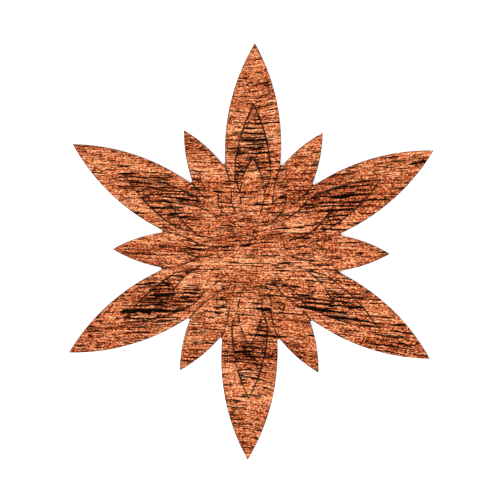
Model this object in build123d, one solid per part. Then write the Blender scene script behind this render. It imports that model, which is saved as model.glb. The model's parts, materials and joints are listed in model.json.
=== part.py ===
from build123d import *
import math
import os

# A flat wooden flower puzzle. A star-shaped backing board carries a ring of twelve glued petals,
# six long and six short, which together make the tray. Nineteen loose pieces fill the tray flush:
# six dark arrowheads, six light leaves, six small leaves and a centre disc.
#
# The origin is the middle of the board's underside. +Z is up and +Y runs along a long petal.
# Every outline is drawn with its petal pointing along +Y, then turned to its place. Outlines are
# drawn on the middle line of the seams, and each piece is then cut back by half a seam all round.

# ---- Driving dimensions, millimetres ---------------------------------------------------------

PETALS = 6                  # long petals, and as many short ones between them
LONG_TIP = 100.0            # centre to the point of a long petal
LONG_HALF = 13.5            # half the width of a long petal, at half its length
SHORT_TIP = 66.5            # centre to the point of a short petal
SHORT_HALF = 9.1            # half the width of a short petal, at half its length
VALLEY_RADIUS = 0.8         # rounding where a long and a short petal meet
SEAM_BULGE = 0.9            # how far the seam between them bows out from straight

DARK_TIP = 70.3             # centre to the point of a dark arrowhead
DARK_HALF = 8.65            # half the width of the arrowhead's curve, at half its length
DARK_SHOULDER = 35.8        # centre to the level of the arrowhead's shoulders

LEAF_TIP = 45.1             # centre to the point of a light leaf
LEAF_HALF = 5.95            # half the light leaf's width at its widest
LEAF_WIDEST = 28.3          # centre to the light leaf's widest place
LEAF_FOOT_HALF = 3.1        # half the light leaf's width at the disc
LEAF_TIP_BULGE = 1.0        # how far its side bows out from straight, above the widest place
LEAF_FOOT_BULGE = 0.5       # the same, below the widest place

SMALL_TIP = 32.2            # centre to the point of a small leaf
SMALL_HALF = 3.15           # half the small leaf's width at its widest
SMALL_WIDEST = 25.4         # centre to the small leaf's widest place
SMALL_FOOT_HALF = 1.4       # half the small leaf's width at the disc
SMALL_TIP_BULGE = 0.5       # how far its side bows out from straight, above the widest place
SMALL_FOOT_BULGE = 0.2      # the same, below the widest place

DISC_RADIUS = 15.9          # centre disc

SEAM = 0.3                  # width of every cut between two pieces
BOARD_THICKNESS = 3.0       # backing board
SHEET_THICKNESS = 3.0       # the sheet that all the pieces are cut from

# ---- Values that follow ----------------------------------------------------------------------

LONG_PITCH = 360.0 / PETALS     # from one long petal to the next, in degrees
SHORT_TURN = LONG_PITCH / 2     # from a long petal to the short one beside it
BEYOND = LONG_TIP + SHORT_TIP   # well outside the flower, for outlines that it trims
VALLEY_STEPS = 60               # halvings in the search for a valley


def lens_radius(tip, half):
    """Radius of the two equal arcs of a lens from the centre to its tip."""
    return (tip * tip / 4 + half * half) / (2 * half)


def lens_half_width(tip, half, along):
    """Half the width of a lens, at a distance along it."""
    radius = lens_radius(tip, half)
    return math.sqrt(radius ** 2 - (along - tip / 2) ** 2) - (radius - half)


def bowed(start, end, bulge):
    """An arc from start to end that stands out by bulge to the right of the way it runs."""
    run_x = end[0] - start[0]
    run_y = end[1] - start[1]
    run = math.hypot(run_x, run_y)
    middle_x = (start[0] + end[0]) / 2 + bulge * run_y / run
    middle_y = (start[1] + end[1]) / 2 - bulge * run_x / run
    return ThreePointArc(start, (middle_x, middle_y), end)


def face_from_half(right_edges):
    """A flat face from the edges on its right and their mirror images on its left."""
    right = Curve() + right_edges
    return make_face(right + mirror(right, about=Plane.YZ)).face()


# ---- Outlines, drawn on the middle line of the seams -----------------------------------------

def lens(tip, half, inset):
    """A petal between two equal arcs, made smaller by inset all round."""
    radius = lens_radius(tip, half)
    half_length = math.sqrt((radius - inset) ** 2 - (radius - half) ** 2)
    low = (0, tip / 2 - half_length)
    high = (0, tip / 2 + half_length)
    return face_from_half([ThreePointArc(low, (half - inset, tip / 2), high)])


def flower_outline(inset):
    """The whole flower with its valleys rounded, made smaller by inset all round."""
    flower = Sketch() + Circle(DISC_RADIUS)
    for index in range(PETALS):
        flower += Rot(0, 0, index * LONG_PITCH) * lens(LONG_TIP, LONG_HALF, inset)
        flower += Rot(0, 0, index * LONG_PITCH + SHORT_TURN) * lens(SHORT_TIP, SHORT_HALF, inset)
    valleys = flower.vertices().sort_by_distance((0, 0, 0))[:2 * PETALS]
    return fillet(valleys, VALLEY_RADIUS + inset)


def leaf(tip, half, widest, foot_half, tip_bulge, foot_bulge):
    """A leaf that tapers both ways from its widest place, to a point and to a narrow foot.

    Its foot runs on to the centre, and the disc trims it.
    """
    foot = (foot_half, math.sqrt(DISC_RADIUS ** 2 - foot_half ** 2))
    side = (half, widest)
    return face_from_half([
        Line((0, 0), foot),
        bowed(foot, side, foot_bulge),
        bowed(side, (0, tip), tip_bulge),
    ])


def light_leaf_outline():
    """The light leaf, along a long petal."""
    return leaf(LEAF_TIP, LEAF_HALF, LEAF_WIDEST, LEAF_FOOT_HALF, LEAF_TIP_BULGE, LEAF_FOOT_BULGE)


def small_leaf_outline():
    """The small leaf, along a short petal."""
    return leaf(SMALL_TIP, SMALL_HALF, SMALL_WIDEST, SMALL_FOOT_HALF, SMALL_TIP_BULGE, SMALL_FOOT_BULGE)


def dark_outline():
    """The dark arrowhead with its notch filled: its legs end where the light leaf is widest."""
    shoulder = (lens_half_width(DARK_TIP, DARK_HALF, DARK_SHOULDER), DARK_SHOULDER)
    along = (DARK_SHOULDER + DARK_TIP) / 2
    side = (lens_half_width(DARK_TIP, DARK_HALF, along), along)
    toe = (LEAF_HALF, LEAF_WIDEST)
    return face_from_half([
        Line((0, LEAF_WIDEST), toe),
        Line(toe, shoulder),
        ThreePointArc(shoulder, side, (0, DARK_TIP)),
    ])


def valley():
    """Where the edges of a short and a long petal cross, across and along the short petal."""
    low = SHORT_TIP / 2
    high = SHORT_TIP
    turn = math.radians(SHORT_TURN)
    for _ in range(VALLEY_STEPS):
        along = (low + high) / 2
        across = lens_half_width(SHORT_TIP, SHORT_HALF, along)
        long_across = along * math.sin(turn) - across * math.cos(turn)
        long_along = along * math.cos(turn) + across * math.sin(turn)
        if long_across > lens_half_width(LONG_TIP, LONG_HALF, long_along):
            high = along
        else:
            low = along
    return across, along


def short_outline():
    """The short petal's share of the flower, with the small leaf's notch filled.

    It starts where the small leaf is widest, follows the seam to the valley and goes on outwards,
    past the flower's edge.
    """
    start = (SMALL_HALF, SMALL_WIDEST)
    corner = valley()
    outside = (corner[0] * BEYOND / corner[1], BEYOND)
    return face_from_half([
        Line((0, SMALL_WIDEST), start),
        bowed(start, corner, SEAM_BULGE),
        Line(corner, outside),
        Line(outside, (0, BEYOND)),
    ])


def sector_outline():
    """A long petal's share of the circle, from one short petal's middle line to the next."""
    edge = (BEYOND * math.sin(math.radians(SHORT_TURN)), BEYOND * math.cos(math.radians(SHORT_TURN)))
    return face_from_half([Line((0, 0), edge), Line(edge, (0, edge[1]))])


# ---- Pieces ----------------------------------------------------------------------------------

def cut_back(outline):
    """An outline made smaller by half a seam all round, with its corners kept sharp."""
    return offset(outline, -SEAM / 2, kind=Kind.INTERSECTION)


def grown(outline):
    """An outline made larger by half a seam all round: what its neighbours leave free for it."""
    return offset(outline, SEAM / 2, kind=Kind.INTERSECTION)


def disc_hole():
    """What the pieces round the centre disc leave free for it."""
    return Circle(DISC_RADIUS + SEAM / 2)


def sheet_piece(face):
    """A piece of the sheet, standing on the board."""
    return Pos(0, 0, BOARD_THICKNESS) * extrude(face, SHEET_THICKNESS)


def backing_board():
    """The board under the whole flower, which shows as a thin rim round the petals."""
    return extrude(flower_outline(0), BOARD_THICKNESS)


def long_petal():
    """A fork: a petal with an opening for the arrowhead and the leaf, and two prongs to the disc."""
    face = flower_outline(SEAM / 2) & sector_outline()
    face -= grown(dark_outline())
    face -= grown(light_leaf_outline())
    for turn in (-SHORT_TURN, SHORT_TURN):
        face -= Rot(0, 0, turn) * grown(short_outline())
        face -= Rot(0, 0, turn) * grown(small_leaf_outline())
    return sheet_piece(face - disc_hole())


def short_petal():
    """A petal with a notch at its foot for the small leaf."""
    flower = Rot(0, 0, SHORT_TURN) * flower_outline(SEAM / 2)
    return sheet_piece((flower & cut_back(short_outline())) - grown(small_leaf_outline()))


def dark_petal():
    """The arrowhead, with the light leaf's notch."""
    return sheet_piece(cut_back(dark_outline()) - grown(light_leaf_outline()))


def light_leaf():
    """The leaf between the arrowhead's legs."""
    return sheet_piece(cut_back(light_leaf_outline()) - disc_hole())


def small_leaf():
    """The leaf at the foot of a short petal."""
    return sheet_piece(cut_back(small_leaf_outline()) - disc_hole())


def centre_disc():
    """The round piece in the middle."""
    return sheet_piece(Circle(DISC_RADIUS - SEAM / 2))


def flower_parts():
    """Every piece in its place, under its own name."""
    parts = {"backing_board": backing_board(), "centre_disc": centre_disc()}
    on_long = {"long_petal": long_petal(), "dark_petal": dark_petal(), "light_leaf": light_leaf()}
    on_short = {"short_petal": short_petal(), "small_leaf": small_leaf()}
    for index in range(PETALS):
        for name, solid in on_long.items():
            parts[f"{name}_{index + 1}"] = Rot(0, 0, index * LONG_PITCH) * solid
        for name, solid in on_short.items():
            parts[f"{name}_{index + 1}"] = Rot(0, 0, index * LONG_PITCH + SHORT_TURN) * solid
    return parts


os.makedirs("parts", exist_ok=True)
for part_name, part_solid in flower_parts().items():
    export_step(part_solid, f"parts/{part_name}.step")
    print(f"{part_name}: {part_solid.volume:.1f} mm3")
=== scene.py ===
# %% [markdown]
# # A flat wooden flower puzzle
#
# The object is a star-shaped wooden tray with six long and six short petals. Nineteen loose pieces
# lie flush inside it: arrowheads, leaves and a round centre. Petals and pieces were cut with a laser
# from one reddish-brown sheet, so the grain runs straight on from piece to piece. They lie on a
# board of the same outline.
#
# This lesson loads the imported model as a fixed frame, remakes each piece with a softened, scorched
# edge, gives every piece its own wood, and sets up a plain table, soft light and a camera.

# %% Load the frame
import json
import math

import bpy
import numpy as np
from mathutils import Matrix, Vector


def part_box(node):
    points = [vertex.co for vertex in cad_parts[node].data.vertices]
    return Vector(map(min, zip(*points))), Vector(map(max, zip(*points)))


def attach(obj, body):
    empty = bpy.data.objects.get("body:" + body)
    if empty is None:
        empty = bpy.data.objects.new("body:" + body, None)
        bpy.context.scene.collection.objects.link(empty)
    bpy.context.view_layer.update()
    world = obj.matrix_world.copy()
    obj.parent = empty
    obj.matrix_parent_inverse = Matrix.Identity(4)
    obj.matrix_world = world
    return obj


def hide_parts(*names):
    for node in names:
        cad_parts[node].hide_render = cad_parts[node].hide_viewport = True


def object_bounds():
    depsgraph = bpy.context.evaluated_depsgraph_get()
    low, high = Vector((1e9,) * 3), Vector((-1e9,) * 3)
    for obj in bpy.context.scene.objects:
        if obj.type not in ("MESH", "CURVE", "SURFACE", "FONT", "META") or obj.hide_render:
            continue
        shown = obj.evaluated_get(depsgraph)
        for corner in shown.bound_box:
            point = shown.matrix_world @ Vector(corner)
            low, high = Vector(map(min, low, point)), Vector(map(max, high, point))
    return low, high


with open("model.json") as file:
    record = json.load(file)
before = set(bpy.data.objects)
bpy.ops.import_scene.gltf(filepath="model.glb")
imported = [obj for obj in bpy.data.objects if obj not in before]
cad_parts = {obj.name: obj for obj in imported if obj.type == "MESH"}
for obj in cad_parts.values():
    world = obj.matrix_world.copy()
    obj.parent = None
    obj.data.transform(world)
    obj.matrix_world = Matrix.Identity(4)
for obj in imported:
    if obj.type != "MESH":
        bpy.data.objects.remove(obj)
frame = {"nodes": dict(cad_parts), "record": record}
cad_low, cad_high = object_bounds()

# %% [markdown]
# The frame says where everything is, in metres. The petals' face is the highest level of the
# whole object, and the disc's radius says where the middle ends. The size of the object gives the
# camera and the table their sizes later. All of these are read once here.

# %% Levels and sizes
MM = 0.001

disc_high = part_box("centre_disc")[1]
FACE_LEVEL = disc_high.z
DISC_RADIUS = disc_high.x
FLOWER_RADIUS = cad_high.y
print(f"face at {FACE_LEVEL / MM:.2f} mm, disc {2 * DISC_RADIUS / MM:.1f} mm across,"
      f" tip to tip {(cad_high.y - cad_low.y) / MM:.1f} mm")

# %% [markdown]
# A finish is a network of shader nodes. Drawing one by hand is slow, and a long list of links is
# hard to read, so two small classes let the network be written as sums. A Field wraps one output
# of a node, and its plus, minus and times each add a Math node. A Finish holds the material and has
# one method that makes any other node: its settings go in first, then its sockets.

# %% Shader sums
class Field:
    """One number that changes over a surface: the output socket of a node."""

    def __init__(self, finish, socket):
        self.finish = finish
        self.socket = socket

    def _sum(self, operation, first, second):
        """A Math node on two values."""
        return self.finish.node("ShaderNodeMath", {"operation": operation}, {0: first, 1: second})

    def __add__(self, other):
        return self._sum("ADD", self, other)

    def __radd__(self, other):
        return self._sum("ADD", other, self)

    def __sub__(self, other):
        return self._sum("SUBTRACT", self, other)

    def __rsub__(self, other):
        return self._sum("SUBTRACT", other, self)

    def __mul__(self, other):
        return self._sum("MULTIPLY", self, other)

    def __rmul__(self, other):
        return self._sum("MULTIPLY", other, self)


class Finish:
    """A material while it is being made."""

    def __init__(self, name):
        self.material = bpy.data.materials.new(name)
        self.material.use_nodes = True
        self.tree = self.material.node_tree
        self.tree.nodes.clear()

    def node(self, kind, settings=None, sockets=None, output=0):
        """Add a node: its settings, then the values or links of its sockets. Gives one output.

        The material's own output node has none, so it gives nothing.
        """
        made = self.tree.nodes.new(kind)
        for key, value in (settings or {}).items():
            if key == "stops":
                set_stops(made.color_ramp, value)
            else:
                setattr(made, key, value)
        for key, value in (sockets or {}).items():
            if isinstance(value, Field):
                self.tree.links.new(value.socket, made.inputs[key])
            else:
                made.inputs[key].default_value = value
        return Field(self, made.outputs[output]) if made.outputs else None


def set_stops(ramp, stops):
    """Give a colour ramp these (position, colour) stops and no others."""
    while len(ramp.elements) < len(stops):
        ramp.elements.new(1.0)
    for element, (position, colour) in zip(ramp.elements, stops):
        element.position = position
        element.color = (*colour, 1.0)


print("shader sums ready")

# %% [markdown]
# Wood is built from long soft threads, so its pattern is a cloud of noise pulled out along the
# grain. Every layer of the pattern is the same noise at a different stretch: wide bands for the
# years of growth, short dashes for the pores, specks for the fibres. The table gives each layer's
# stretch in millimetres along, across and through the board.

# %% Layers of noise
LAYERS = {
    # layer: ((along, across, through), seed, detail, roughness)
    "wave": ((75, 26, 60), 1, 1.0, 0.5),                # the whole grain sways
    "bands": ((150, 10, 80), 2, 2.0, 0.5),              # years of growth
    "figure": ((14, 3.0, 8), 3, 1.0, 0.5),              # flecks of light and dark
    "fibres": ((12.0, 0.48, 2.4), 4, 0.0, 0.5),
    "specks": ((0.76, 0.44, 0.7), 5, 0.0, 0.5),
    "comb_patches": ((11, 1.7, 9), 6, 2.0, 0.5),        # where comb lines show
    "threads": ((18, 1.05, 3), 8, 1.0, 0.35),
    "burns": ((7, 7, 30), 9, 2.0, 0.5),                 # where the edge is scorched
    "dashes": ((14.0, 0.64, 4.0), 9, 1.0, 0.35),        # long pores
    "thread_patches": ((8, 1.6, 6), 10, 1.0, 0.5),      # where threads show
    "broad": ((46, 13, 40), 11, 1.0, 0.5),              # slow changes of tone
    "ticks": ((4.6, 0.44, 1.5), 12, 0.0, 0.5),          # short pores
    "ribs": ((0.42, 0.42, 9.0), 13, 1.0, 0.5),          # beam marks on the walls
    "clouds": ((5.0, 5.0, 2.2), 14, 2.0, 0.5),          # smoke on the walls
    "push": ((40, 7, 30), 20, 1.0, 0.5),                # comb lines gather and spread
    "waver": ((4.0, 1.5, 3), 21, 0.0, 0.5),             # comb lines tremble
}
SEED_STEP = (3.17, 5.83, 7.41)  # how far apart the clouds of two seeds are taken


def scaled(finish, vector, scale, offset=(0, 0, 0)):
    """A vector times scale plus offset, axis by axis."""
    return finish.node("ShaderNodeVectorMath", {"operation": "MULTIPLY_ADD"},
                       {0: vector, 1: scale, 2: offset})


def noise(finish, place, layer):
    """A cloud of noise from 0 to 1. Its lumps are about as long as the layer's stretch."""
    stretch, seed, detail, rough = LAYERS[layer]
    scale = tuple(1.0 / side for side in stretch)
    shift = tuple(seed * step for step in SEED_STEP)
    return finish.node("ShaderNodeTexNoise", {"noise_dimensions": "3D"},
                       {"Vector": scaled(finish, place, scale, shift), "Scale": 1.0,
                        "Detail": detail, "Roughness": rough, "Distortion": 0.0})


print(len(LAYERS), "layers of noise")

# %% [markdown]
# The layers are put together with a few more helpers: a blend of two colours, a smooth step, the
# larger of two values, and how far a vector reaches.

# %% Helpers for masks
def mixed(finish, factor, first, second):
    """A colour between two colours."""
    return finish.node("ShaderNodeMix", {"data_type": "RGBA"}, {0: factor, 6: first, 7: second},
                       output=2)


def between(finish, value, low, high, to_low=0.0, to_high=1.0):
    """Smooth step: to_low where value is below low, to_high where it is above high."""
    return finish.node("ShaderNodeMapRange", {"interpolation_type": "SMOOTHSTEP"},
                       {"Value": value, "From Min": low, "From Max": high,
                        "To Min": to_low, "To Max": to_high})


def strongest(finish, first, second):
    """The larger of two values."""
    return finish.node("ShaderNodeMath", {"operation": "MAXIMUM"}, {0: first, 1: second})


def length_of(finish, vector):
    """How long a vector is."""
    return finish.node("ShaderNodeVectorMath", {"operation": "LENGTH"}, {0: vector}, output=1)


def reach_along(finish, vector, direction):
    """How far a vector reaches along a direction: their dot product."""
    return finish.node("ShaderNodeVectorMath", {"operation": "DOT_PRODUCT"},
                       {0: vector, 1: direction}, output=1)


print("mask helpers ready")

# %% [markdown]
# All pieces read the same Object coordinates, which is why the grain carries on across the seams as
# it does in one board. No tree is quite straight, so a slow wave bends the grain a little, and it
# opens out like a fan on the side where x is positive. Both are taken out of the place where the
# noise is read, which bends the noise the other way.

# %% Grain
GRAIN_WAVE_MM = 2.2             # how far the grain strays to the side
GRAIN_FAN = 0.0022              # how fast the grain opens out towards +X, per mm


def board_place(finish):
    """Where a point is in the board, in millimetres, and the same with the grain made straight.

    Straight y is y + wave - fan x y, and the last term is only there where x is positive.
    """
    metres = finish.node("ShaderNodeTexCoord", output=3)
    place = scaled(finish, metres, (1 / MM, 1 / MM, 1 / MM))
    wave = (noise(finish, place, "wave") - 0.5) * (2 * GRAIN_WAVE_MM)
    x = reach_along(finish, place, (1, 0, 0))
    y = reach_along(finish, place, (0, 1, 0))
    fan = strongest(finish, x, 0.0) * y * GRAIN_FAN
    sideways = finish.node("ShaderNodeCombineXYZ", {}, {"Y": wave - fan})
    return place, finish.node("ShaderNodeVectorMath", {"operation": "ADD"}, {0: place, 1: sideways})


print("grain sways by", GRAIN_WAVE_MM, "mm")

# %% [markdown]
# Here and there the tree took up minerals, which leaves near-black smears along the grain, and in
# other places the wood stayed pale. They fall where they fall, so the largest are placed one by one:
# each has a middle, a half length and a half width in millimetres, and a lean against the grain.
# Each is a soft oval, the length of the vector from its middle after its axes are shrunk to one.

# %% Smears and pale patches
OVAL_FADE = (0.25, 1.20)        # where an oval starts to fade and where it ends, as shares of it

SMEARS = (
    # middle (x, y), half length, half width, lean, strength
    ((-54.0, 35.5), 17.0, 1.6, -0.15, 1.00),
    ((-27.0, 29.5), 17.0, 1.2, -0.12, 0.75),
    ((-38.0, 19.0), 13.0, 4.0, -0.45, 0.50),
    ((1.0, 52.5), 9.0, 6.5, 0.00, 1.00),
    ((2.0, 79.0), 10.0, 3.0, 0.00, 0.40),
    ((73.0, 44.0), 14.0, 2.2, 0.10, 0.60),
    ((40.0, 22.0), 15.0, 2.0, 0.00, 1.00),
    ((48.0, 28.0), 16.0, 4.0, 0.20, 0.50),
    ((26.0, 0.0), 11.0, 1.8, -0.10, 0.40),
    ((-27.0, 1.5), 9.0, 1.2, 0.00, 0.75),
    ((-47.0, -25.0), 17.0, 5.5, 0.50, 0.95),
    ((-50.0, -36.0), 14.0, 4.0, 0.30, 0.40),
    ((36.0, -27.0), 20.0, 4.6, -0.42, 1.00),
    ((47.0, -20.0), 12.0, 5.0, -0.60, 0.40),
    ((73.0, -44.0), 15.0, 3.6, -0.45, 0.75),
    ((-2.0, -49.5), 12.0, 6.0, 0.00, 0.90),
    ((-24.0, -46.0), 10.0, 5.0, 0.80, 0.40),
)
PALE_PATCHES = (
    ((0.0, 88.0), 8.0, 7.0, 0.00, 1.00),
    ((-68.0, 43.5), 22.0, 3.8, -0.20, 0.90),
    ((60.0, 38.0), 18.0, 4.5, 0.45, 0.50),
    ((-4.0, 36.5), 26.0, 3.4, 0.00, 0.60),
    ((36.0, -15.0), 18.0, 3.8, -0.25, 0.90),
    ((60.0, -30.0), 16.0, 4.2, -0.60, 0.80),
    ((-8.0, -8.0), 19.0, 6.0, 0.00, 0.60),
    ((0.0, -75.0), 10.0, 15.0, 0.00, 0.35),
)


def oval(finish, place, middle, half_length, half_width, lean, strength):
    """A soft oval round middle: strength inside, nothing past its edge.

    Each side of the shrunk vector is the place along one axis of the oval over half its size.
    """
    angle = math.atan(lean)
    ways = (("X", math.cos(angle), math.sin(angle), half_length),
            ("Y", -math.sin(angle), math.cos(angle), half_width))
    sides = {}
    for axis, along_x, along_y, half in ways:
        start = -(middle[0] * along_x + middle[1] * along_y) / half
        sides[axis] = reach_along(finish, place, (along_x / half, along_y / half, 0)) + start
    shrunk = finish.node("ShaderNodeCombineXYZ", {}, sides)
    return between(finish, length_of(finish, shrunk), *OVAL_FADE, strength, 0.0)


def ovals(finish, place, rows):
    """The strongest of many ovals at each point."""
    found = 0.0
    for middle, half_length, half_width, lean, strength in rows:
        one = oval(finish, place, middle, half_length, half_width, lean, strength)
        found = strongest(finish, found, one)
    return found


print(len(SMEARS), "smears and", len(PALE_PATCHES), "pale patches")

# %% [markdown]
# The wood itself is a reddish brown, like a plain mahogany under a thin coat of oil. A ramp turns
# one number, the tone, into colour: from near black through rust to a light orange tan. The tone
# is a sum of layers, and the table says how much each of them counts.

# %% Colours of the wood
WOOD_STOPS = (
    (0.08, (0.008, 0.001, 0.000)),
    (0.24, (0.135, 0.012, 0.002)),
    (0.38, (0.328, 0.050, 0.010)),
    (0.50, (0.475, 0.100, 0.026)),
    (0.62, (0.620, 0.158, 0.052)),
    (0.78, (0.855, 0.292, 0.122)),
    (0.95, (0.995, 0.510, 0.262)),
)
TONE_START = 0.547              # the tone of plain wood
TONE_LAYERS = {"bands": 0.48, "figure": 0.16, "fibres": 0.84, "specks": 1.44, "broad": 0.42}
PALE_LIFT = 0.09                # how much lighter a pale patch is
SMEAR_DROP = 0.05               # how much darker a smear is between its lines
RING_START = (9.0, 11.5)        # radius in mm where the disc's paler ring starts and is full
STREAK_COLOUR = (0.005, 0.001, 0.000, 1.0)
SCORCH_COLOUR = (0.020, 0.007, 0.005, 1.0)
WALL_DARK = (0.028, 0.012, 0.008, 1.0)
WALL_AMBER = (0.170, 0.066, 0.030, 1.0)

print(len(WOOD_STOPS), "colours from tone", WOOD_STOPS[0][0], "to", WOOD_STOPS[-1][0])

# %% [markdown]
# Dark lines cut into the face along the grain. The longest are comb lines: a wave across the grain
# that shows only where it is highest, so they lie side by side like the teeth of a comb. Thin
# threads run between them, where a stretched noise passes its middle value.

# %% Comb lines and threads
COMB_GAP = 2.05                 # mm from one comb line to the next
COMB_PUSH = 18.0                # how far slow noise pushes the comb lines about, in radians
COMB_WAVER = 2.4                # how far quick noise does, in radians
THREAD_HALF = 0.066             # half the width of a thread, as a step of its noise
THREAD_CORE = 0.4               # the share of that which is fully dark


def comb_lines(finish, grain):
    """A wave across the grain: 1 on lines that lie COMB_GAP apart, and -1 between them.

    It is the sine of the way across. Slow noise pushes the lines together and apart, and quick
    noise makes them waver.
    """
    across = reach_along(finish, grain, (0, 2 * math.pi / COMB_GAP, 0))
    push = noise(finish, grain, "push") * COMB_PUSH
    waver = noise(finish, grain, "waver") * COMB_WAVER
    return finish.node("ShaderNodeMath", {"operation": "SINE"}, {0: across + push + waver})


def thread_lines(finish, grain):
    """Long thin lines along the grain, where a stretched noise passes its middle value."""
    middle = noise(finish, grain, "threads") - 0.5
    away = finish.node("ShaderNodeMath", {"operation": "ABSOLUTE"}, {0: middle})
    return between(finish, away, THREAD_CORE * THREAD_HALF, THREAD_HALF, 1.0, 0.0)


print("comb lines every", COMB_GAP, "mm, before noise pushes them about")

# %% [markdown]
# Dashes and ticks are open pores, the highest parts of a stretched noise. Every kind of line has a
# level over which it shows. Helping the noise over that level gives more of the line, which is how
# the smears and the dark arrowheads get theirs.

# %% All dark lines together
COMB_PATCHES = 4.0              # how strongly comb lines keep to their patches
THREAD_STRENGTH = 0.90
LEVELS = {
    # line: (level where it starts, level where it is full, help from a smear, help from streaks)
    "comb": (0.90, 1.12, 0.80, 12.0),
    "threads": (0.50, 0.60, 0.16, 1.0),
    "dashes": (0.67, 0.70, 0.06, 1.0),
    "ticks": (0.69, 0.73, 0.05, 1.0),
}


def started(finish, line, value, crowd, more_streaks):
    """Where value is over the level of a kind of line, which smears and streaks bring nearer."""
    start, full, from_crowd, from_streaks = LEVELS[line]
    helped = value + crowd * from_crowd + more_streaks * from_streaks
    return between(finish, helped, start, full)


def dark_lines(finish, grain, crowd, more_streaks):
    """The strongest of all kinds of dark line at each point, from 0 to 1."""
    patches = (noise(finish, grain, "comb_patches") - 0.5) * COMB_PATCHES
    values = {
        "comb": comb_lines(finish, grain) + patches,
        "threads": noise(finish, grain, "thread_patches"),
        "dashes": noise(finish, grain, "dashes"),
        "ticks": noise(finish, grain, "ticks"),
    }
    lines = {line: started(finish, line, value, crowd, more_streaks)
             for line, value in values.items()}
    threads = thread_lines(finish, grain) * lines["threads"] * THREAD_STRENGTH
    pores = strongest(finish, lines["dashes"], lines["ticks"])
    return strongest(finish, strongest(finish, lines["comb"], threads), pores)


print(len(LEVELS), "kinds of dark line")

# %% [markdown]
# The laser scorches the rim of each face and chars the walls. Every piece's mesh will carry two
# fields for that: near_edge is 1 at the cut and fades inwards, and wall is 1 on the walls. The
# scorch comes and goes along the rim and is faint round the disc. The beam leaves upright ribs on
# the walls, and the smoke leaves clouds.

# %% Scorched rims and charred walls
SCORCH_FADE = (0.05, 0.75)      # near_edge where the scorch starts and is full
BURN_LEVELS = (0.36, 0.56)      # noise where a stretch of rim is barely and fully scorched
BURN_LEAST = 0.20               # how much of the scorch a barely scorched stretch keeps
DISC_CLEAR = (0.6, 4.0)         # mm out from the disc where the scorch is faintest and full
DISC_SCORCH = 0.3               # how much of the scorch is left at the disc
WALL_LEVELS = (0.40, 0.66)      # from black wall to amber wall
WALL_RIBS = 0.6                 # how much the ribs count in that, and the clouds the rest


def field_of(finish, title):
    """A number that the mesh carries at each point."""
    return finish.node("ShaderNodeAttribute", {"attribute_name": title}, output=2)


def scorch_mask(finish, place, radius, scorched):
    """How scorched the face is, from 0 to scorched."""
    rim = between(finish, field_of(finish, "near_edge"), *SCORCH_FADE)
    burns = noise(finish, place, "burns")
    patchy = between(finish, burns, *BURN_LEVELS, BURN_LEAST * scorched, scorched)
    near, far = (DISC_RADIUS / MM + out for out in DISC_CLEAR)
    return rim * patchy * between(finish, radius, near, far, DISC_SCORCH, 1.0)


def charred_wall(finish, place):
    """The colour of a wall, and the ribs that stand out on it."""
    ribs = noise(finish, place, "ribs")
    clouds = noise(finish, place, "clouds")
    amber = between(finish, ribs * WALL_RIBS + clouds * (1 - WALL_RIBS), *WALL_LEVELS)
    return mixed(finish, amber, WALL_DARK, WALL_AMBER), ribs


print("scorch and char ready")

# %% [markdown]
# Now the recipe for a whole wood. Tone, lines, scorch and wall are laid over each other in that
# order. Dark lines and scorch are rougher than the oiled face, and the fibres and lines give it a
# fine relief.

# %% The wood
FACE_SPECULAR = 0.04            # oiled wood hardly mirrors
FACE_ROUGHNESS = 0.56
FIBRES_ROUGH = 0.25             # what fibres, lines and scorch add to the roughness
LINES_ROUGH = 0.30
SCORCH_ROUGH = 0.20
FIBRES_HIGH = 0.5               # how far fibres and specks stand out, and lines lie deep
SPECKS_HIGH = 0.25
LINES_DEEP = 0.5
RELIEF_HEIGHT = 0.12 * MM
RELIEF_STRENGTH = 0.35
HEART_CORE = 0.35               # the share of a heart's reach with its full strength


def heart_zone(finish, radius, centre, reach, strength):
    """A soft ring round the flower's middle: strength on its centre line, nothing past its reach."""
    inner = between(finish, radius, centre - reach, centre - HEART_CORE * reach)
    outer = between(finish, radius, centre + HEART_CORE * reach, centre + reach, 1.0, 0.0)
    return inner * outer * strength


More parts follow.
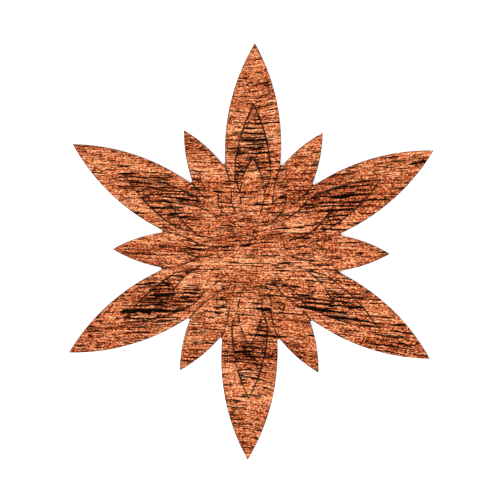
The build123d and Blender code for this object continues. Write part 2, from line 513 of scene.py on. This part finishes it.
def wood(name, lift=0.0, more_streaks=0.0, heart=None, ring=0.0, gloss=0.0, scorched=1.0):
    """One piece's wood.

    lift lightens it, more_streaks darkens it with lines, gloss makes it smoother, and scorched is
    the strength of the scorch at its rim. heart is (radius, reach, strength) in mm of a zone where
    the lines crowd together, and ring brightens the outer third of the centre disc.
    """
    finish = Finish(name)
    place, grain = board_place(finish)
    radius = length_of(finish, scaled(finish, place, (1, 1, 0)))
    crowd = ovals(finish, place, SMEARS)
    if heart:
        crowd = strongest(finish, crowd, heart_zone(finish, radius, *heart))

    layers = {layer: noise(finish, grain, layer) - 0.5 for layer in TONE_LAYERS}
    tone = TONE_START + lift + ovals(finish, place, PALE_PATCHES) * PALE_LIFT
    for layer, strength in TONE_LAYERS.items():
        tone = tone + layers[layer] * strength
    if ring:
        tone = tone + between(finish, radius, *RING_START) * ring
    tone = tone - crowd * SMEAR_DROP

    cut = dark_lines(finish, grain, crowd, more_streaks)
    scorch = scorch_mask(finish, place, radius, scorched)
    wall = field_of(finish, "wall")
    charred, ribs = charred_wall(finish, place)
    colour = finish.node("ShaderNodeValToRGB", {"stops": WOOD_STOPS}, {"Fac": tone})
    colour = mixed(finish, cut, colour, STREAK_COLOUR)
    colour = mixed(finish, scorch, colour, SCORCH_COLOUR)
    colour = mixed(finish, wall, colour, charred)

    roughness = FACE_ROUGHNESS - gloss + layers["fibres"] * FIBRES_ROUGH
    roughness = roughness + cut * LINES_ROUGH + scorch * SCORCH_ROUGH
    height = layers["fibres"] * FIBRES_HIGH + layers["specks"] * SPECKS_HIGH
    height = height - cut * LINES_DEEP + wall * ribs
    relief = finish.node("ShaderNodeBump", {}, {
        "Strength": RELIEF_STRENGTH, "Distance": RELIEF_HEIGHT, "Height": height})
    shader = finish.node("ShaderNodeBsdfPrincipled", {}, {
        "Base Color": colour, "Roughness": roughness, "Specular IOR Level": FACE_SPECULAR,
        "Normal": relief})
    finish.node("ShaderNodeOutputMaterial", {}, {"Surface": shader})
    print(name, "has", len(finish.tree.nodes), "nodes")
    return finish.material


# %% [markdown]
# Five woods come from the one recipe. The outer petals are the plain sheet. The arrowheads and the
# small leaves are a little darker and more streaked, and the streaks crowd together half way along
# each arrowhead. The leaves between the arrowheads' legs are lighter, the disc has a paler ring,
# and the board underneath is darker, duller and barely oiled.

# %% Five woods
WOODS = {
    "petal_wood": wood("petal_wood", lift=0.005, more_streaks=-0.008, scorched=0.8),
    "dark_wood": wood("dark_wood", lift=-0.015, more_streaks=0.008, heart=(51.0, 20.0, 0.40)),
    "light_wood": wood("light_wood", lift=0.025, more_streaks=-0.008),
    "disc_wood": wood("disc_wood", ring=0.03),
    "board_wood": wood("board_wood", lift=-0.12, gloss=-0.12),
}
SLOTS = {
    "long_petal": "petal_wood",
    "short_petal": "petal_wood",
    "dark_petal": "dark_wood",
    "small_leaf": "dark_wood",
    "light_leaf": "light_wood",
    "centre_disc": "disc_wood",
    "backing_board": "board_wood",
}


def slot_of(node):
    """The material slot of a node, from the name of its kind of piece."""
    return next(slot for kind, slot in SLOTS.items() if node.startswith(kind))


print(len(WOODS), "woods for", len(SLOTS), "kinds of piece")

# %% [markdown]
# A laser leaves each piece with a square edge, and sanding then takes its sharpness off. So every
# piece is one outline and one profile: the outline is the piece seen from above, and the profile
# climbs its wall, rounds the top edge and runs a little way in over the face. Carrying the profile
# round the outline gives a grid of points. It could be done with a Bevel modifier, but the grid
# also knows how near each point is to the cut, and the scorched edge needs that.
#
# The outline comes from the frame's own mesh. Its triangles are loose, so equal points are merged
# first.

# %% Merge a node's points
SAME_PLACE = 0.01 * MM          # points nearer than this are one point


def merged_mesh(node):
    """A node's points with doubles merged, and its triangles as rows of three point numbers."""
    mesh = frame["nodes"][node].data
    mesh.calc_loop_triangles()
    points = np.empty(len(mesh.vertices) * 3)
    mesh.vertices.foreach_get("co", points)
    corners = np.empty(len(mesh.loop_triangles) * 3, int)
    mesh.loop_triangles.foreach_get("vertices", corners)
    fine = np.round(points.reshape(-1, 3) / SAME_PLACE).astype(int)
    _, first, same = np.unique(fine, axis=0, return_index=True, return_inverse=True)
    return points.reshape(-1, 3)[first], same.ravel()[corners].reshape(-1, 3)


print("centre disc:", len(merged_mesh("centre_disc")[0]), "points after merging")

# %% [markdown]
# An edge of the top face that belongs to one triangle only is part of the outline. Each such edge
# runs anticlockwise, so the outline is walked by going from every edge's start to its end.

# %% Read an outline
def walk(start, end):
    """The points of one closed loop of edges in walking order.

    jump takes each point to the one len(order) steps on, so every round doubles the walk.
    """
    jump = np.zeros(max(start.max(), end.max()) + 1, int)
    jump[start] = end
    order = start[:1]
    while len(order) < len(start):
        order = np.concatenate([order, jump[order]])
        jump = jump[jump]
    return order[:len(start)]


def outline_of(node):
    """A node's outline seen from above, anticlockwise, as rows of x and y.

    Twice the area of a triangle a b c is (b - a) x (c - a), and it is negative for a triangle that
    runs clockwise.
    """
    points, triangles = merged_mesh(node)
    top = points[:, 2].max()
    flat = triangles[(points[triangles, 2] > top - SAME_PLACE).all(axis=1)]
    a, b, c = (points[flat[:, k], :2] for k in range(3))
    area = (b[:, 0] - a[:, 0]) * (c[:, 1] - a[:, 1]) - (b[:, 1] - a[:, 1]) * (c[:, 0] - a[:, 0])
    flat = np.where((area > 0)[:, None], flat, flat[:, ::-1])
    edges = np.concatenate([flat[:, [0, 1]], flat[:, [1, 2]], flat[:, [2, 0]]])
    key = np.sort(edges, axis=1)
    _, which, count = np.unique(key, axis=0, return_inverse=True, return_counts=True)
    border = edges[count[which.ravel()] == 1]
    return points[walk(border[:, 0], border[:, 1]), :2]


print("long petal outline:", len(outline_of("long_petal_1")), "points")

# %% [markdown]
# To move an outline inwards by the same distance everywhere, each point slides along the line that
# halves its corner. The sharper the corner, the further it has to slide. At the pointed ends of the
# arrowheads' legs there is little room, so no point may slide past the middle of the piece there.
# The room at a point is the smallest circle that touches it from inside and meets another point.

# %% Move an outline inwards
ROOM_USED = 0.6                 # how much of the way to the middle of the piece a point may slide
ROOM_SOFT = 0.02 * MM           # a short slide gets less of that, so no two rings meet at a point
TINY = 1e-12                    # keeps a division by nothing away


def inward(outline):
    """For each point the slide that moves both its edges in by one, and the room it has.

    With unit normals m and n of its two edges the slide is (m + n) / (1 + m.n). The circle that
    touches point p along unit direction d and meets q has radius |q - p|^2 / (2 d.(q - p)).
    """
    ahead = np.roll(outline, -1, axis=0) - outline
    ahead /= np.linalg.norm(ahead, axis=1)[:, None]
    left = np.stack([-ahead[:, 1], ahead[:, 0]], axis=1)
    before = np.roll(left, 1, axis=0)
    both = left + before
    slide = both / (1 + (left * before).sum(axis=1))[:, None]
    way = both / np.linalg.norm(both, axis=1)[:, None]
    apart = outline[None] - outline[:, None]
    facing = (apart * way[:, None]).sum(axis=2)
    squared = (apart ** 2).sum(axis=2)
    circle = np.where(facing > MM / 1e6, squared / (2 * np.maximum(facing, TINY)), np.inf)
    return slide, circle.min(axis=1)


def moved_in(outline, slide, room, distance):
    """The outline moved in by each row of distances, and less where a point has no room for that.

    The room it may use is ROOM_USED room distance / (distance + ROOM_SOFT).
    """
    length = np.linalg.norm(slide, axis=1) * distance
    limit = ROOM_USED * room * np.abs(distance) / (np.abs(distance) + ROOM_SOFT)
    share = np.minimum(1.0, limit / np.maximum(length, TINY))
    return outline + slide * (distance * share)[..., None]


print(f"light leaf: {inward(outline_of('light_leaf_1'))[1].max() / MM:.2f} mm of room at most")

# %% [markdown]
# Round the middle the pieces are so narrow that sanding and oil have nearly closed their seams,
# which show there only as short scratches. So the walls lean out towards each other near the
# middle, more in some places than in others. How much is worked out from the place in the board
# alone, which makes the two sides of a seam agree. Long edges are divided first, because a wall can
# only change its lean at a point of the outline.

# %% Nearly closed seams
LONGEST_EDGE = 1.2 * MM         # no outline edge is left longer than this
TIGHT_RADIUS = 24.5             # mm from the middle, where half of the seams' length is loose
TIGHT_FADE = 14.0               # mm from there to where every seam is loose
TIGHT_WAVE = 2.4                # how sharply a seam changes from tight to loose


def divided(outline):
    """The outline with its long edges divided evenly.

    Part k of n on the edge from a to b starts at a + (b - a) k / n.
    """
    ahead = np.roll(outline, -1, axis=0) - outline
    parts = np.ceil(np.linalg.norm(ahead, axis=1) / LONGEST_EDGE).astype(int)
    k = np.arange(parts.sum()) - np.repeat(np.cumsum(parts) - parts, parts)
    share = k / np.repeat(parts, parts)
    return np.repeat(outline, parts, axis=0) + np.repeat(ahead, parts, axis=0) * share[:, None]


def tightness(outline):
    """How nearly closed the seam is at each point, from 0 to 1.

    The wave of place is the mean of sin(0.9 x + 2 sin(0.55 y)) and sin(0.8 y + 2 sin(0.45 x)), in
    mm. It is made TIGHT_WAVE as high, and a slope, (TIGHT_RADIUS - radius) / TIGHT_FADE, is added.
    Where the slope is below -1, no seam is tight.
    """
    x, y = outline.T / MM
    wave = (np.sin(0.9 * x + 2 * np.sin(0.55 * y)) + np.sin(0.8 * y + 2 * np.sin(0.45 * x))) / 2
    slope = (TIGHT_RADIUS - np.hypot(x, y)) / TIGHT_FADE
    return np.where(slope > -1, np.clip(TIGHT_WAVE * wave + slope, 0.0, 1.0), 0.0)


leaf_tight = tightness(divided(outline_of("light_leaf_1")))
print(f"light leaf: {(leaf_tight > 0.5).mean():.0%} of its edge is nearly closed")

# %% [markdown]
# The profile is a list of steps, each with how far in it lies, how much of the lean it takes, how
# high it is, how near the cut it counts as and how much of a burnt wall it is. A quarter circle in
# three steps rounds the bottom edge and another the top edge, and the wall between them leans out a
# little. The last ring, a little way in, is where the scorch has faded to nothing. Two flat faces
# close the piece at the top and at the bottom.

# %% Profile of an edge
EDGE_ROUND = 0.05 * MM          # rounding of the top and bottom edges
SCORCH_REACH = 0.42 * MM        # how far the scorch reaches in over the face
ROUND_STEPS = np.radians((0.0, 30.0, 60.0, 90.0))


def edge_profile(low, high):
    """Rows of inset, share of the lean, height, nearness to the cut and wall, from below upwards.

    With the angle t from 0 to 90 degrees, the foot's quarter circle is round (1 - sin t) in and
    round (1 - cos t) up. The head's is round (1 - cos t) in and round (1 - sin t) down from high.
    """
    sine = np.sin(ROUND_STEPS)
    cosine = np.cos(ROUND_STEPS)
    one = np.ones(len(ROUND_STEPS))
    start = [EDGE_ROUND + SCORCH_REACH, 0.0, low, 0.0, 0.0]
    foot = np.stack([EDGE_ROUND * (1 - sine), 0 * one, low + EDGE_ROUND * (1 - cosine), one, sine], 1)
    head = np.stack([EDGE_ROUND * (1 - cosine), one, high - EDGE_ROUND * (1 - sine), one, cosine], 1)
    end = [EDGE_ROUND + SCORCH_REACH, 1.0, high, 0.0, 0.0]
    return np.vstack([start, foot, head, end])


print(len(edge_profile(0.0, FACE_LEVEL)), "steps in the profile")

# %% [markdown]
# The grid has one row of points for each step of the profile and one column for each point of the
# outline. Neighbouring rows are joined by walls of four-sided faces. The two fields for the scorch
# and the walls are written to the mesh, and the scorch is left out where a seam is nearly closed.

# %% Carry the profile round the outline
KERF_LEAN = 0.01 * MM           # how far a wall leans out on its way up
DISC_LEAN = 0.12 * MM           # the same for the disc, which was cut slowest
TIGHT_LEAN = 0.13 * MM          # the same for any wall where its seam is tightest
SHARP_ANGLE = math.radians(36)  # corners over this stay crisp


def grid_faces(rows, count):
    """The walls between the rows of a grid of closed rings, and a flat face at either end.

    Point k of ring r has the number r count + k.
    """
    along = np.arange(count)
    after = (along + 1) % count
    base = (np.arange(rows - 1) * count)[:, None]
    walls = np.stack([base + along, base + after, base + after + count, base + along + count], axis=2)
    return [*walls.reshape(-1, 4).tolist(), along[::-1].tolist(), (base[-1] + count + along).tolist()]


def cut_piece(name, outline, low, high, least_lean):
    """A closed piece: the rings of its profile, walls between them, and two flat faces.

    Each ring is moved in by its inset less its share of the lean.
    """
    inset, part, height, near, wall = edge_profile(low, high).T[:, :, None]
    tight = tightness(outline)
    lean = least_lean + (TIGHT_LEAN - least_lean) * tight
    rings = moved_in(outline, *inward(outline), inset - part * lean)
    grid = rings.shape[:2]
    levels = np.broadcast_to(height, grid)[..., None]
    points = np.concatenate([rings, levels], axis=2).reshape(-1, 3)
    faces = grid_faces(*grid)
    mesh = bpy.data.meshes.new(name)
    mesh.from_pydata(points.tolist(), [], faces)
    fields = {"near_edge": near * (1 - tight), "wall": np.broadcast_to(wall, grid)}
    for title, values in fields.items():
        mesh.attributes.new(title, "FLOAT", "POINT").data.foreach_set("value", values.ravel())
    mesh.polygons.foreach_set("use_smooth", np.ones(len(faces), bool))
    mesh.set_sharp_from_angle(angle=SHARP_ANGLE)
    mesh.update()
    piece = bpy.data.objects.new(name, mesh)
    bpy.context.scene.collection.objects.link(piece)
    return piece


print("pieces can be cut")

# %% [markdown]
# Now every node of the frame gets its finished piece. Each rides on the same body as its node, so a
# lifted leaf takes its scorched edge and its grain with it.

# %% Make the pieces
LEANS = {"backing_board": 0.0, "centre_disc": DISC_LEAN}    # every other wall leans by KERF_LEAN

for body, members in frame["record"]["behaviour"]["bodies"].items():
    for node in members:
        low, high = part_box(node)
        lean = LEANS.get(node, KERF_LEAN)
        piece = cut_piece(node + "_cut", divided(outline_of(node)), low.z, high.z, lean)
        piece.data.materials.append(WOODS[slot_of(node)])
        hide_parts(node)
        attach(piece, body)

# %% [markdown]
# The table is a plain white light table, large enough to fill the view from any side. It glows a
# little, as such tables do, which lifts the shadow round the foot of the puzzle.

# %% Table
TABLE_HALF = 40 * FLOWER_RADIUS
TABLE_DROP = 0.02 * MM          # how far it lies below the board, so the two don't flicker
TABLE_GLOW = 0.52
TABLE_WHITE = (0.97, 0.97, 0.97, 1.0)
WHITE = (1.0, 1.0, 1.0, 1.0)

table = Finish("table_white")
table_shader = table.node("ShaderNodeBsdfPrincipled", {}, {
    "Base Color": TABLE_WHITE, "Roughness": 0.9, "Specular IOR Level": 0.0,
    "Emission Color": WHITE, "Emission Strength": TABLE_GLOW})
table.node("ShaderNodeOutputMaterial", {}, {"Surface": table_shader})
corner = np.array([[-1, -1, 0], [1, -1, 0], [1, 1, 0], [-1, 1, 0]]) * TABLE_HALF
corner = corner + np.array([0, 0, cad_low.z - TABLE_DROP])
floor_mesh = bpy.data.meshes.new("table_top")
floor_mesh.from_pydata(corner.tolist(), [], [(0, 1, 2, 3)])
floor_mesh.materials.append(table.material)
floor = bpy.data.objects.new("table_top", floor_mesh)
bpy.context.scene.collection.objects.link(floor)
print("table", 2 * TABLE_HALF, "m wide")

# %% [markdown]
# Soft, even light shows the wood's colours best: a bright white room on all sides, and one broad
# sun lamp almost overhead, a little to the left and towards the front, for a trace of direction.
# The picture is shown with the Standard view, because the film-like default greys the whites and
# dulls the oranges.

# %% Light
SKY_STRENGTH = 0.62
LAMP_STRENGTH = 2.0
LAMP_SPREAD = math.radians(50)
LAMP_TILT = math.radians(10)

bpy.context.scene.view_settings.view_transform = "Standard"
world = bpy.data.worlds.new("white_room")
world.use_nodes = True
sky = world.node_tree.nodes["Background"]
sky.inputs["Color"].default_value = WHITE
sky.inputs["Strength"].default_value = SKY_STRENGTH
bpy.context.scene.world = world

lamp = bpy.data.lights.new("soft_lamp", "SUN")
lamp.angle = LAMP_SPREAD
lamp.energy = LAMP_STRENGTH
lamp_object = bpy.data.objects.new("soft_lamp", lamp)
lamp_object.rotation_euler = (LAMP_TILT, -LAMP_TILT, 0.0)
bpy.context.scene.collection.objects.link(lamp_object)
print("sky", SKY_STRENGTH, "and lamp", LAMP_STRENGTH)

# %% [markdown]
# The camera looks straight down from far off through a long lens, so the star keeps its true shape.
# Its height follows from the width that the view has to take in at the level of the petals' face.
# It is turned by one degree, because the flower isn't laid down quite straight.

# %% Camera
LENS = 200.0                    # mm
SENSOR = 36.0                   # mm
VIEW_WIDTH = 0.23920            # m, width of the view at the level of the face
CAMERA_LEFT = 0.60 * MM         # how far the camera stands off the middle, to -X
CAMERA_UP = 0.72 * MM           # the same to +Y
CAMERA_TURN = math.radians(1.0)

camera = bpy.data.cameras.new("camera")
camera.lens = LENS
camera.sensor_width = SENSOR
camera_object = bpy.data.objects.new("camera", camera)
camera_object.location = (-CAMERA_LEFT, CAMERA_UP, FACE_LEVEL + VIEW_WIDTH * LENS / SENSOR)
camera_object.rotation_euler = (0.0, 0.0, CAMERA_TURN)
bpy.context.scene.collection.objects.link(camera_object)
bpy.context.scene.camera = camera_object
print(f"camera {camera_object.location.z:.3f} m above the table")
